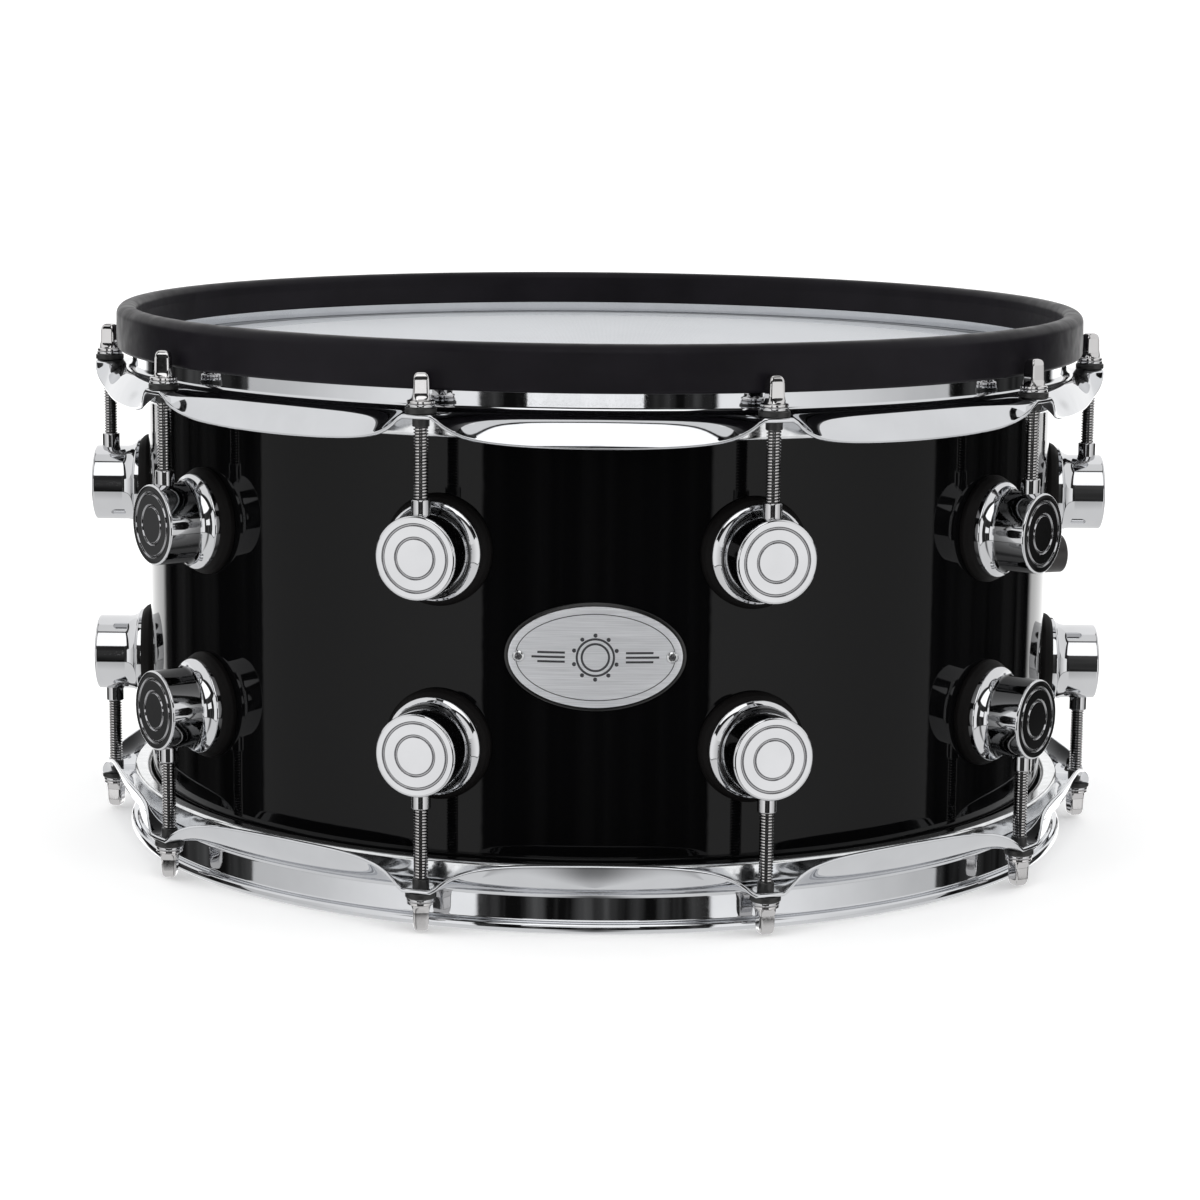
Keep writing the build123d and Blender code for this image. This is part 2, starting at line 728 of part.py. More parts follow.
tab_middle = shell_inner - 2 - body_depth - 3.0
tab_turn = degrees(5.0 / tab_middle)
tab_level = mid_height - tab_drop
bridge_top = bridge_height + bridge_sheet
head_route = [
    inside(18, 27.0, bridge_top + 4.0),
    inside(18, 60.0, bridge_top + 4.0),
    inside(18, 96.0, bridge_top + 2.5),
    inside(24, 124.0, bridge_top + 7.0),
    inside(30, 141.0, bridge_top - 1.0),
    inside(29, 149.0, 131.0),
    inside(24, 150.0, 116.0),
    inside(18 + tab_turn, tab_middle, 107.0),
    inside(18 + tab_turn, tab_middle, tab_level + tab_sheet / 2),
]
rim_route = [
    inside(rim_piezo_angle, pad_face - 3.5, rim_piezo_height - 12.0),
    inside(rim_piezo_angle + 1, pad_face - 5.0, rim_piezo_height - 26.0),
    inside(-10, pad_face - 6.0, 88.0),
    inside(2, pad_face - 9.0, 76.0),
    inside(12, 151.0, 74.0),
    inside(18 - tab_turn, tab_middle, 81.0),
    inside(18 - tab_turn, tab_middle, tab_level - tab_sheet / 2),
]


def corner_radii(points):
    """Arc radius at each corner: 0.45 of the shorter run, over the tangent of half the turn."""
    radii = []
    for before, corner, after in zip(points, points[1:], points[2:]):
        first, second = Vector(corner) - Vector(before), Vector(after) - Vector(corner)
        half_turn = radians(first.get_angle(second)) / 2
        radii.append(0.45 * min(first.length, second.length) / tan(half_turn))
    print("lead radii", [round(radius, 1) for radius in radii])
    return radii


with BuildPart() as piezo_leads:
    for route in (head_route, rim_route):
        with BuildLine():
            path = FilletPolyline(*route, radius=corner_radii(route))
        with BuildSketch(Plane(origin=path @ 0, z_dir=path % 0)):
            Circle(lead_radius)
        sweep(path=path)
save(piezo_leads, "piezo_leads")
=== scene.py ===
"""Studio picture of a fourteen by seven inch snare drum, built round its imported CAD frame.

Profiles are in millimetres, as in the CAD model, and surface() turns them into metres. Everything
stands in the CAD frame: +Z up along the drum's axis, the badge at -Y, the floor at zero.
"""
import math

import bmesh
import bpy
import numpy as np
from mathutils import Matrix, Vector


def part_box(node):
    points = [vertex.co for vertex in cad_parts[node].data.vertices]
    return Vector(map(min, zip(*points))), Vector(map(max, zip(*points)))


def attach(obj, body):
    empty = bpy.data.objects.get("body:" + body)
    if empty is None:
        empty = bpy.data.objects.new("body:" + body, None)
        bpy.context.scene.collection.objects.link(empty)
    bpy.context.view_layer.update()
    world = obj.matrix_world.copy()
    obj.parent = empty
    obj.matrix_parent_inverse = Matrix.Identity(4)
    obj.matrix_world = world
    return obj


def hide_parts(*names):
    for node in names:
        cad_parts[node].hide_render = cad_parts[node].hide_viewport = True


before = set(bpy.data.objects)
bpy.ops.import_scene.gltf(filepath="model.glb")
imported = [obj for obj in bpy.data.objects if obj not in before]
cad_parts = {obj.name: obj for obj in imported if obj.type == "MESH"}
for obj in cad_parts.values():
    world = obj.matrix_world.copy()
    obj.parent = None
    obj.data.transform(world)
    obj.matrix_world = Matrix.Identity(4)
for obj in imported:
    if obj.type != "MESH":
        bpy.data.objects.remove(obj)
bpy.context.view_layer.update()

MM = 0.001
DRUM = "drum"
COLUMNS = 10
STEP = 2 * math.pi / COLUMNS
FINE = 360                      # segments in the large rings
WELD = 2e-7                     # metres: points closer than this are one
SLIVER = 1e-7                   # metres: shorter edges are dissolved


def span(node, axis):
    """Lowest and highest coordinate of a CAD node along an axis, in millimetres."""
    low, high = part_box(node)
    return low[axis] / MM, high[axis] / MM


# ---- sizes read from the frame ------------------------------------------------------------------
shell_bottom, shell_top = span("shell", 2)
shell_radius = span("shell", 0)[1]
mid_height = (shell_bottom + shell_top) / 2
lug_reach = span("top_lugs", 0)[1]
lug_low, lug_high = span("top_lugs", 2)
lug_height = (lug_low + lug_high) / 2
lug_offset = lug_height - mid_height
gasket_radius = (span("top_lug_gaskets", 2)[1] - span("top_lug_gaskets", 2)[0]) / 2
gasket_face = span("top_lug_gaskets", 0)[1]
nut_top = span("top_swivel_nuts", 2)[1]
rod_circle = sum(span("top_rod_1", 0)) / 2
collar_radius = span("top_rod_1", 0)[1] - rod_circle
rod_end, key_top = span("top_rod_1", 2)
washer_bottom, washer_top = span("top_rod_washers", 2)
washer_radius = span("top_rod_washers", 0)[1] - rod_circle
bushing_tail, bushing_top = span("top_rod_bushings", 2)
bushing_radius = span("top_rod_bushings", 0)[1] - rod_circle
lip_top = span("top_hoop", 2)[1]
flesh_bottom, flange_under = span("batter_flesh_hoop", 2)
flesh_radius = span("batter_flesh_hoop", 0)[1]
cover_radius = span("rim_cover", 0)[1]
cover_crest = span("rim_cover", 2)[1]
head_top = span("batter_mesh", 2)[1]
collar_ring_radius = span("batter_collar_ring", 0)[1]
collar_ring_top = span("batter_collar_ring", 2)[1]
badge_low, badge_high = span("badge_plate", 2)
badge_half_width = span("badge_plate", 0)[1]
border_half_width = span("badge_backing", 0)[1]
badge_face = -span("badge_plate", 1)[0]
backing_face = -span("badge_backing", 1)[0]


# ---- mesh making --------------------------------------------------------------------------------
def rounded(corners, closed=False, steps=6):
    """Outline through corners given as (x, y, fillet radius), with an arc at each fillet.

    An arc takes nearly half of a side that two fillets share, and nearly all of one it has alone.
    """
    shared, alone = 0.49, 0.98
    outline = []
    count = len(corners)
    for i, (x, y, radius) in enumerate(corners):
        here = np.array((x, y), float)
        if radius <= 0 or (not closed and i in (0, count - 1)):
            outline.append(here)
            continue
        before = np.array(corners[i - 1][:2], float) - here
        after = np.array(corners[(i + 1) % count][:2], float) - here
        reach_before, reach_after = np.linalg.norm(before), np.linalg.norm(after)
        before, after = before / reach_before, after / reach_after
        half = math.acos(max(-1.0, min(1.0, float(before @ after)))) / 2
        if half > math.pi / 2 - 1e-3:
            outline.extend([here] * (steps + 1))
            continue
        room_before = reach_before * (shared if corners[i - 1][2] > 0 else alone)
        room_after = reach_after * (shared if corners[(i + 1) % count][2] > 0 else alone)
        tangent = min(radius / math.tan(half), room_before, room_after)
        radius = tangent * math.tan(half)
        middle = (before + after) / np.linalg.norm(before + after)
        centre = here + middle * radius / math.sin(half)
        start, end = here + before * tangent - centre, here + after * tangent - centre
        turn = math.atan2(start[0] * end[1] - start[1] * end[0], start @ end)
        for k in range(steps + 1):
            angle = turn * k / steps
            c, s = math.cos(angle), math.sin(angle)
            arm = np.array((c * start[0] - s * start[1], s * start[0] + c * start[1]))
            outline.append(centre + arm)
    return supported(outline, closed)


def supported(outline, closed, long=2.0, inset=0.25):
    """Extra points near the ends of long straight runs, to keep smooth shading in the fillets."""
    result = []
    for i, here in enumerate(outline):
        result.append(here)
        if i + 1 == len(outline) and not closed:
            break
        run = outline[(i + 1) % len(outline)] - here
        length = np.linalg.norm(run)
        if length > long:
            result.extend((here + run * inset / length, here + run * (1 - inset / length)))
    return np.array(result)


def lathe(outline, segments):
    """Grid of points from an outline of (radius, height) turned about Z."""
    turn = np.linspace(0, 2 * math.pi, segments, endpoint=False)[:, None]
    radius, height = outline[:, 0][None, :], outline[:, 1][None, :]
    return np.stack((radius * np.cos(turn), radius * np.sin(turn), height + 0 * turn), axis=-1)


def level_ring(turn, reach, height):
    """Ring of points at one height, with a reach for each angle."""
    return np.stack((reach * np.cos(turn), reach * np.sin(turn), 0 * turn + height), axis=-1)


def turned(grid, angle):
    """Grid turned about the drum's axis."""
    c, s = math.cos(angle), math.sin(angle)
    x, y, z = grid[..., 0], grid[..., 1], grid[..., 2]
    return np.stack((c * x - s * y, s * x + c * y, z), axis=-1)


def on_rod_circle(grid):
    """Grid moved from the drum's axis out to the first column's rod."""
    return grid + np.array((rod_circle, 0.0, 0.0))


def mirrored(grid):
    """The same part of the lower set: upside down about mid height, with its faces turned back."""
    flipped = grid[::-1].copy()
    flipped[..., 2] = 2 * mid_height - flipped[..., 2]
    return flipped


def outward(grid, angle=0.0, height=0.0):
    """Stand a lathed grid on the drum: its Z becomes the distance out from the drum's axis."""
    x, y, z = grid[..., 0], grid[..., 1], grid[..., 2]
    return turned(np.stack((z, x, y + height), axis=-1), angle)


def every_column(grid):
    """One copy of a grid for each of the drum's lug columns."""
    return [turned(grid, k * STEP) for k in range(COLUMNS)]


def surface(name, grids, wrap_rows=True, wrap_columns=False, sharp=35.0):
    """One object of quads from grids of points in millimetres, smooth up to a sharp angle."""
    vertices, faces = [], []
    for grid in grids:
        rows, columns = grid.shape[:2]
        first = len(vertices)
        vertices.extend(map(tuple, (grid.reshape(-1, 3) * MM)))
        for i in range(rows if wrap_rows else rows - 1):
            below, above = first + i * columns, first + (i + 1) % rows * columns
            for j in range(columns if wrap_columns else columns - 1):
                k = (j + 1) % columns
                faces.append((below + j, above + j, above + k, below + k))
    mesh = bpy.data.meshes.new(name)
    mesh.from_pydata(vertices, [], faces)
    tidy = bmesh.new()
    tidy.from_mesh(mesh)
    bmesh.ops.remove_doubles(tidy, verts=tidy.verts, dist=WELD)
    bmesh.ops.dissolve_degenerate(tidy, edges=tidy.edges, dist=SLIVER)
    bmesh.ops.recalc_face_normals(tidy, faces=tidy.faces)
    tidy.to_mesh(mesh)
    tidy.free()
    mesh.shade_smooth()
    mesh.set_sharp_from_angle(angle=math.radians(sharp))
    piece = bpy.data.objects.new(name, mesh)
    bpy.context.scene.collection.objects.link(piece)
    return piece


def place(piece, material, slot, *nodes, body=DRUM):
    """Give a piece its material and its place in the frame."""
    piece.data.materials.append(material)
    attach(piece, body)
    if nodes:
        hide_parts(*nodes)
    return piece


def darken(piece, material, in_groove):
    """Second material, a painted shade, on the faces whose centre, in millimetres, lies in a
    groove.
    """
    piece.data.materials.append(material)
    for face in piece.data.polygons:
        if in_groove(*(face.center / MM)):
            face.material_index = 1


# ---- materials ----------------------------------------------------------------------------------
class Look:
    """A node material with the few nodes that every finish here uses."""

    def __init__(self, name, colour, metallic=0.0, roughness=0.5, ior=1.5):
        self.material = bpy.data.materials.new(name)
        self.material.use_nodes = True
        self.nodes = self.material.node_tree.nodes
        self.links = self.material.node_tree.links
        self.shader = self.nodes["Principled BSDF"]
        self.shader.inputs["Base Color"].default_value = (*colour, 1)
        self.shader.inputs["Metallic"].default_value = metallic
        self.shader.inputs["Roughness"].default_value = roughness
        self.shader.inputs["IOR"].default_value = ior
        coordinates = self.nodes.new("ShaderNodeTexCoord")
        self.place = coordinates.outputs["Object"]
        self.bumped = None

    def stretched(self, x, y, z):
        """The object's coordinates scaled per axis."""
        mapping = self.nodes.new("ShaderNodeMapping")
        mapping.inputs["Scale"].default_value = (x, y, z)
        self.links.new(self.place, mapping.inputs["Vector"])
        return mapping.outputs["Vector"]

    def noise(self, scale, detail=3.0, where=None):
        texture = self.nodes.new("ShaderNodeTexNoise")
        texture.inputs["Scale"].default_value = scale
        texture.inputs["Detail"].default_value = detail
        self.links.new(where or self.place, texture.inputs["Vector"])
        return texture.outputs["Fac"]

    def between(self, value, low, high, low_in=0.3, high_in=0.7):
        """Map a value to a range."""
        ranged = self.nodes.new("ShaderNodeMapRange")
        ranged.inputs["From Min"].default_value = low_in
        ranged.inputs["From Max"].default_value = high_in
        ranged.inputs["To Min"].default_value = low
        ranged.inputs["To Max"].default_value = high
        self.links.new(value, ranged.inputs["Value"])
        return ranged.outputs["Result"]

    def math(self, operation, first, second):
        node = self.nodes.new("ShaderNodeMath")
        node.operation = operation
        for socket, value in zip(node.inputs, (first, second)):
            if isinstance(value, (int, float)):
                socket.default_value = value
            else:
                self.links.new(value, socket)
        return node.outputs["Value"]

    def roughness(self, value, low, high):
        self.links.new(self.between(value, low, high), self.shader.inputs["Roughness"])
        return self

    def colours(self, value, dark, light, low_in=0.3, high_in=0.7):
        """Base colour from a value through a two-colour ramp."""
        ramp = self.nodes.new("ShaderNodeValToRGB")
        ramp.color_ramp.elements[0].position = low_in
        ramp.color_ramp.elements[0].color = (*dark, 1)
        ramp.color_ramp.elements[1].position = high_in
        ramp.color_ramp.elements[1].color = (*light, 1)
        self.links.new(value, ramp.inputs["Fac"])
        self.links.new(ramp.outputs["Color"], self.shader.inputs["Base Color"])
        return self

    def bump(self, height, strength, distance):
        """Add a bump on top of any already there."""
        node = self.nodes.new("ShaderNodeBump")
        node.inputs["Strength"].default_value = strength
        node.inputs["Distance"].default_value = distance
        self.links.new(height, node.inputs["Height"])
        if self.bumped:
            self.links.new(self.bumped, node.inputs["Normal"])
        self.bumped = node.outputs["Normal"]
        self.links.new(self.bumped, self.shader.inputs["Normal"])
        return self


def chrome(name, colour, roughness, waviness, scratches=0.02):
    """Polished plate: a slow waviness from pressing and polishing, and faint rubbing marks."""
    look = Look(name, colour, metallic=1.0, roughness=roughness)
    look.colours(look.noise(60.0), tuple(0.93 * c for c in colour), colour)
    look.roughness(look.noise(900.0, 4.0), roughness * 0.6, roughness * 1.6)
    look.bump(look.noise(38.0, 1.0), waviness, 0.001)
    look.bump(look.noise(2600.0, 2.0), scratches, 0.00004)
    return look.material


def lacquer():
    """Black piano lacquer: deep, almost level, with a trace of orange peel."""
    look = Look("black_lacquer", (0.0016, 0.0016, 0.0018), roughness=0.03, ior=1.27)
    look.roughness(look.noise(25.0, 5.0), 0.018, 0.045)
    look.bump(look.noise(240.0, 1.0), 0.015, 0.0004)
    return look.material


def rubber(name, colour, low, high, grain=900.0):
    """Dull moulded rubber, between two roughnesses."""
    look = Look(name, colour, roughness=high, ior=1.45)
    look.shader.inputs["Specular IOR Level"].default_value = 0.12
    dark, light = (tuple(share * c for c in colour) for share in (0.7, 1.25))
    look.colours(look.noise(30.0, 4.0), dark, light)
    look.roughness(look.noise(140.0, 4.0), low, high)
    look.bump(look.noise(grain, 2.0), 0.12, 0.00012)
    return look.material


def plastic(name, colour, roughness):
    """Moulded plastic or paint with a fine grain."""
    look = Look(name, colour, roughness=roughness)
    dark, light = (tuple(share * c for c in colour) for share in (0.8, 1.15))
    look.colours(look.noise(120.0), dark, light)
    look.roughness(look.noise(400.0), roughness * 0.8, roughness * 1.25)
    look.bump(look.noise(1500.0), 0.08, 0.00005)
    return look.material


def metal(name, colour, roughness):
    """Plain machined or sheet metal."""
    look = Look(name, colour, metallic=1.0, roughness=roughness)
    look.colours(look.noise(200.0), tuple(0.85 * c for c in colour), colour)
    look.roughness(look.noise(700.0), roughness * 0.7, roughness * 1.4)
    look.bump(look.noise(1800.0), 0.05, 0.00005)
    return look.material


def brushed_plate():
    """Satin aluminium brushed along the badge's width."""
    look = Look("badge_metal", (0.62, 0.63, 0.64), metallic=1.0, roughness=0.34)
    grain = look.noise(1.0, 6.0, look.stretched(60.0, 60.0, 4200.0))
    look.colours(grain, (0.72, 0.73, 0.755), (0.90, 0.91, 0.935))
    look.roughness(grain, 0.46, 0.60)
    look.bump(grain, 0.12, 0.00004)
    return look.material


def woven(name, dark, light, pitch):
    """Fine plain weave seen from above: two crossed sets of threads."""
    look = Look(name, light, roughness=0.62)
    scale = 2 * math.pi / (pitch * MM)
    apart = look.nodes.new("ShaderNodeSeparateXYZ")
    look.links.new(look.place, apart.inputs["Vector"])
    across = look.math("SINE", look.math("MULTIPLY", apart.outputs["X"], scale), 0.0)
    along = look.math("SINE", look.math("MULTIPLY", apart.outputs["Y"], scale), 0.0)
    threads = look.math("MAXIMUM", across, along)
    slow = look.noise(9.0, 3.0)
    shade = look.math("ADD", look.math("MULTIPLY", threads, 0.5), slow)
    look.colours(shade, dark, light, 0.1, 0.9)
    look.bump(threads, 0.35, 0.00015)
    return look.material


hoop_chrome = chrome("hoop_chrome", (0.66, 0.67, 0.69), 0.035, 0.05)
lug_chrome = chrome("lug_chrome", (0.66, 0.665, 0.68), 0.035, 0.03)
# Darker, rougher chrome for the lug faces' engraved rings: painted shade in the grooves.
painted_shade_groove_chrome = chrome("painted_shade_groove_chrome", (0.36, 0.36, 0.37), 0.09, 0.02)
nut_chrome = chrome("nut_chrome", (0.58, 0.58, 0.59), 0.06, 0.02)
rod_steel = chrome("rod_steel", (0.55, 0.54, 0.54), 0.08, 0.01)
# Dark grey metal for the rods' thread roots: painted shade between the threads.
painted_shade_thread_root = metal("painted_shade_thread_root", (0.10, 0.10, 0.10), 0.35)
key_chrome = chrome("key_chrome", (0.62, 0.61, 0.61), 0.06, 0.12)
black_lacquer = lacquer()
rim_rubber = rubber("rim_rubber", (0.0078, 0.0068, 0.0092), 0.32, 0.46)
gasket_rubber = rubber("gasket_rubber", (0.0035, 0.003, 0.003), 0.5, 0.65)
black_nylon = plastic("black_nylon", (0.012, 0.012, 0.012), 0.38)
flesh_metal = metal("flesh_hoop_metal", (0.80, 0.81, 0.82), 0.14)
badge_metal = brushed_plate()
badge_black = plastic("badge_black", (0.006, 0.006, 0.006), 0.2)
# Black paint of the badge's engraved lines, also used as painted shade in the screws' cross
# recesses.
engraving_and_painted_shade_black = plastic("engraving_and_painted_shade_black", (0.03, 0.03, 0.035), 0.5)
screw_metal = metal("small_screw_metal", (0.68, 0.69, 0.70), 0.2)
head_white = woven("head_mesh", (0.45, 0.465, 0.485), (0.60, 0.615, 0.64), 0.55)
collar_grey = woven("head_collar", (0.38, 0.395, 0.42), (0.52, 0.54, 0.57), 0.55)
film_white = plastic("head_film", (0.72, 0.72, 0.72), 0.45)
socket_black = plastic("socket_black", (0.022, 0.018, 0.017), 0.34)

# ---- shell --------------------------------------------------------------------------------------
shell_wall = 7.5
bearing = 3.15                  # depth of each 45 degree bearing edge cut
shell_outline = rounded(
    [
        (shell_radius - shell_wall, shell_bottom + bearing, 0.6),
        (shell_radius - shell_wall + bearing, shell_bottom, 0.5),
        (shell_radius - bearing, shell_bottom, 0.5),
        (shell_radius, shell_bottom + bearing, 0.8),
        (shell_radius, shell_top - bearing, 0.8),
        (shell_radius - bearing, shell_top, 0.5),
        (shell_radius - shell_wall + bearing, shell_top, 0.5),
        (shell_radius - shell_wall, shell_top - bearing, 0.6),
    ],
    closed=True, steps=3,
)
shell = surface("shell_lacquered", [lathe(shell_outline, FINE)], wrap_columns=True)
place(shell, black_lacquer, "black_lacquer", "shell")

# ---- lugs, gaskets and swivel nuts --------------------------------------------------------------
lug_face_radius = 14.65
lug_base_radius = 17.4
lug_base_inside = 4.0           # from the base's radius in to where the outline starts
lug_foot = gasket_face - 1.5    # the base reaches this far down, and is cut off by the gasket
lug_rim = 0.8                   # radius of the base's rounded edge
flare_radius = 5.5              # of the concave sweep from the barrel out to the base
flare_start = 5.9               # where it leaves the barrel, above the gasket
flare_lean = 34                 # degrees from the lug's axis at which it meets the base
face_edge = 0.85                # radius of the edge round the face
ring_shares = (0.79, 0.475)     # engraved rings, as parts of the face's radius
groove_width, groove_depth = 1.1, 0.5


def groove(centre):
    """Corners of a shallow groove in the lug's face, from outside in."""
    top, bottom = groove_width / 2, 0.45 * groove_width / 2
    return [
        (centre + top, lug_reach, 0.08),
        (centre + bottom, lug_reach - groove_depth, 0.2),
        (centre - bottom, lug_reach - groove_depth, 0.2),
        (centre - top, lug_reach, 0.08),
    ]


def lug_profile():
    """Outline from inside the base, over its rounded rim, up the flare and barrel to the face."""
    lean = np.radians(np.linspace(flare_lean, 90, 18))
    flare = np.stack(
        (
            lug_face_radius + flare_radius * (1 - np.sin(lean)),
            gasket_face + flare_start - flare_radius * np.cos(lean),
        ),
        axis=-1,
    )
    rim_centre = flare[0] - lug_rim * np.array((math.sin(lean[0]), math.cos(lean[0])))
    turn = np.radians(np.linspace(0, 90 - flare_lean, 8))
    rim = rim_centre + lug_rim * np.stack((np.cos(turn), np.sin(turn)), axis=-1)
    foot = np.array([(lug_base_radius - lug_base_inside, lug_foot), (rim[0][0], lug_foot)])
    barrel = rounded(
        [
            (lug_face_radius, gasket_face + flare_start + 0.25, 0),
            (lug_face_radius, lug_reach, face_edge),
            *groove(ring_shares[0] * lug_face_radius),
            *groove(ring_shares[1] * lug_face_radius),
            (0.0, lug_reach, 0),
        ],
    )
    return np.concatenate((foot, rim, flare[1:], barrel))


lug_outline = lug_profile()


def on_shell(grid, radius, level):
    """Drop the points of a standing grid that lie at a level onto the round shell."""
    x = grid[..., 0]
    low = np.abs(grid[..., 2] - level) < 1e-6
    grid[..., 2] = np.where(low, np.sqrt(radius ** 2 - x ** 2), grid[..., 2])
    return grid


lug_grid = on_shell(lathe(lug_outline, 96), gasket_face, lug_foot)
upper_lugs = every_column(outward(lug_grid, height=lug_height))


def in_face_groove(x, y, z):
    """True between the lug's face and the bottom of its engraved rings."""
    column = round(math.atan2(y, x) / STEP) * STEP
    below_face = lug_reach - (x * math.cos(column) + y * math.sin(column))
    across = y * math.cos(column) - x * math.sin(column)
    aside = math.hypot(across, abs(z - mid_height) - lug_offset)
    return 0.1 < below_face < groove_depth + 0.1 and aside < 0.9 * lug_face_radius


for lugs, grids, node in (
    ("turret_lugs_top", upper_lugs, "top_lugs"),
    ("turret_lugs_bottom", [mirrored(g) for g in upper_lugs], "bottom_lugs"),
):
    piece = place(surface(lugs, grids, sharp=50), lug_chrome, "lug_chrome", node)
    # Faces inside the engraved rings take the darker chrome: painted shade in the grooves.
    darken(piece, painted_shade_groove_chrome, in_face_groove)

gasket_bore = 3.0
gasket_outline = rounded(
    [
        (gasket_bore, shell_radius, 0),
        (gasket_radius, shell_radius, 0.2),
        (gasket_radius, shell_radius + 1.6, 1.0),
        (gasket_radius - 0.9, gasket_face - 1.2, 2.0),
        (lug_base_radius + 0.1, gasket_face, 0.3),
        (gasket_bore, gasket_face, 0),
    ],
    steps=3,
)
gasket_grid = lathe(gasket_outline, 96)
gasket_grid[..., 2] -= shell_radius - np.sqrt(shell_radius ** 2 - gasket_grid[..., 0] ** 2)
upper_gaskets = every_column(outward(gasket_grid, height=lug_height))
place(surface("lug_gaskets_top", upper_gaskets), gasket_rubber, "gasket_rubber", "top_lug_gaskets")
place(
    surface("lug_gaskets_bottom", [mirrored(g) for g in upper_gaskets]),
    gasket_rubber, "gasket_rubber", "bottom_lug_gaskets",
)

nut_bore, nut_radius = 2.4, 3.4
nut_outline = rounded(
    [
        (nut_bore, nut_top - 3, 0),
        (nut_bore, nut_top, 0.2),
        (nut_radius, nut_top, 0.3),
        (nut_radius, nut_top - 10, 0),
    ],
    steps=5,
)
upper_nuts = every_column(on_rod_circle(lathe(nut_outline, 48)))
place(surface("swivel_nuts_top", upper_nuts), nut_chrome, "nut_chrome", "top_swivel_nuts")
place(
    surface("swivel_nuts_bottom", [mirrored(g) for g in upper_nuts]),
    nut_chrome, "nut_chrome", "bottom_swivel_nuts",
)

# ---- bushings and washers under the rod heads ---------------------------------------------------
sheet = 1.6                     # thickness of the hoops' steel
bushing_bore, bushing_sleeve = 2.4, 2.95
washer_bore = 2.5
bushing_outline = rounded(
    [
        (bushing_bore, bushing_top, 0),
        (bushing_radius, bushing_top, 0.4),
        (bushing_radius, flange_under + sheet, 0.4),
        (bushing_sleeve, flange_under + sheet - 0.1, 0),
        (bushing_sleeve, bushing_tail, 0.3),
        (bushing_bore, bushing_tail, 0),
    ],
    steps=4,
)
washer_outline = rounded(
    [
        (washer_bore, washer_bottom, 0),
        (washer_radius, washer_bottom, 0.35),
        (washer_radius, washer_top, 0.35),
        (washer_bore, washer_top, 0),
    ],
    steps=4,
)
for outline, title, material, slot, node in (
    (bushing_outline, "rod_bushings", black_nylon, "black_nylon", "rod_bushings"),
    (washer_outline, "rod_washers", nut_chrome, "nut_chrome", "rod_washers"),
):
    upper = every_column(on_rod_circle(lathe(outline, 48)))
    place(surface(title + "_top_set", upper), material, slot, "top_" + node)
    lower = [mirrored(g) for g in upper]
    place(surface(title + "_bottom_set", lower), material, slot, "bottom_" + node)

# ---- tension rods -------------------------------------------------------------------------------
thread_major, thread_minor = 2.52, 2.02
thread_pitch = 1.058            # 24 threads to the inch
root_radius = 0.45 * thread_major + 0.55 * thread_minor     # the thread's grooves lie inside this
thread_top = bushing_tail + 2.0
collar_bottom = washer_top + 0.05


def threaded_shank():
    """Helical thread: each row of points climbs one pitch in a turn."""
    around = 36
    # parts of a pitch along the rod, and of the thread's depth
    profile = ((0.0, 1.0), (0.4, 1.0), (0.55, 0.0), (0.85, 0.0))
    turns = int((thread_top - rod_end) / thread_pitch)
    climb = np.array([k + part for k in range(turns) for part, _ in profile])[None, :]
    depth = np.array([share for _ in range(turns) for _, share in profile])[None, :]
    turn = np.linspace(0, 2 * math.pi, around + 1)[:, None]
    height = rod_end + (climb + turn / (2 * math.pi) - 0.5) * thread_pitch
    height = np.clip(height, rod_end, thread_top)
    radius = thread_minor + (thread_major - thread_minor) * depth + 0 * turn
    return np.stack((radius * np.cos(turn), radius * np.sin(turn), height), axis=-1)


def key_head():
    """Collar, cone and square key head with rounded corners and a rounded end."""
    base = collar_bottom
    levels = [
        # height, half width, squareness from 0, a circle, to 1
        (base, 2.2, 0.0),
        (base, collar_radius - 0.3, 0.0),
        (base + 0.3, collar_radius, 0.0),
        (base + 0.9, collar_radius, 0.0),
        (base + 1.2, collar_radius - 0.35, 0.0),
        (base + 1.3, 3.9, 0.0),
        (base + 1.7, 3.45, 0.15),
        (base + 2.4, 3.1, 0.55),
        (base + 3.2, 2.88, 0.9),
        (base + 4.0, 2.8, 1.0),
        (key_top - 2.8, 2.7, 1.0),
        (key_top - 1.4, 2.5, 0.9),
        (key_top - 0.7, 2.2, 0.7),
        (key_top - 0.25, 1.7, 0.5),
        (key_top - 0.05, 1.1, 0.3),
        (key_top, 0.5, 0.0),
        (key_top, 0.0, 0.0),
    ]
    turn = np.linspace(0, 2 * math.pi, 64, endpoint=False)
    columns = []
    for height, half, square in levels:
        power = 2 + 9 * square
        rounding = (np.abs(np.cos(turn)) ** power + np.abs(np.sin(turn)) ** power) ** (1 / power)
        columns.append(level_ring(turn, half / rounding, height))
    return np.stack(columns, axis=1)


shank_grid, key_grid = threaded_shank(), key_head()
for side in ("top", "bottom"):
    for column in range(COLUMNS):
        node = f"{side}_rod_{column + 1}"
        name = f"{side}_{column + 1}"
        left_at = math.radians((column * 65 + 20) % 90)      # each key head stops at its own angle
        grids = []
        for grid in (shank_grid, turned(key_grid, left_at)):
            grid = turned(on_rod_circle(grid), column * STEP)
            grids.append(mirrored(grid) if side == "bottom" else grid)
        shank = surface(f"tension_rod_thread_{name}", [grids[0]], wrap_rows=False, sharp=60)
        key = surface(f"tension_rod_head_{name}", [grids[1]], sharp=40)
        place(key, key_chrome, "rod_steel", node, body=node)
        place(shank, rod_steel, "rod_steel", body=node)
        axis_x, axis_y = (rod_circle * f(column * STEP) for f in (math.cos, math.sin))
        # Faces inside the thread's root radius take the dark metal: painted shade between the
        # threads.
        darken(
            shank, painted_shade_thread_root,
            lambda x, y, z: math.hypot(x - axis_x, y - axis_y) < root_radius,
        )

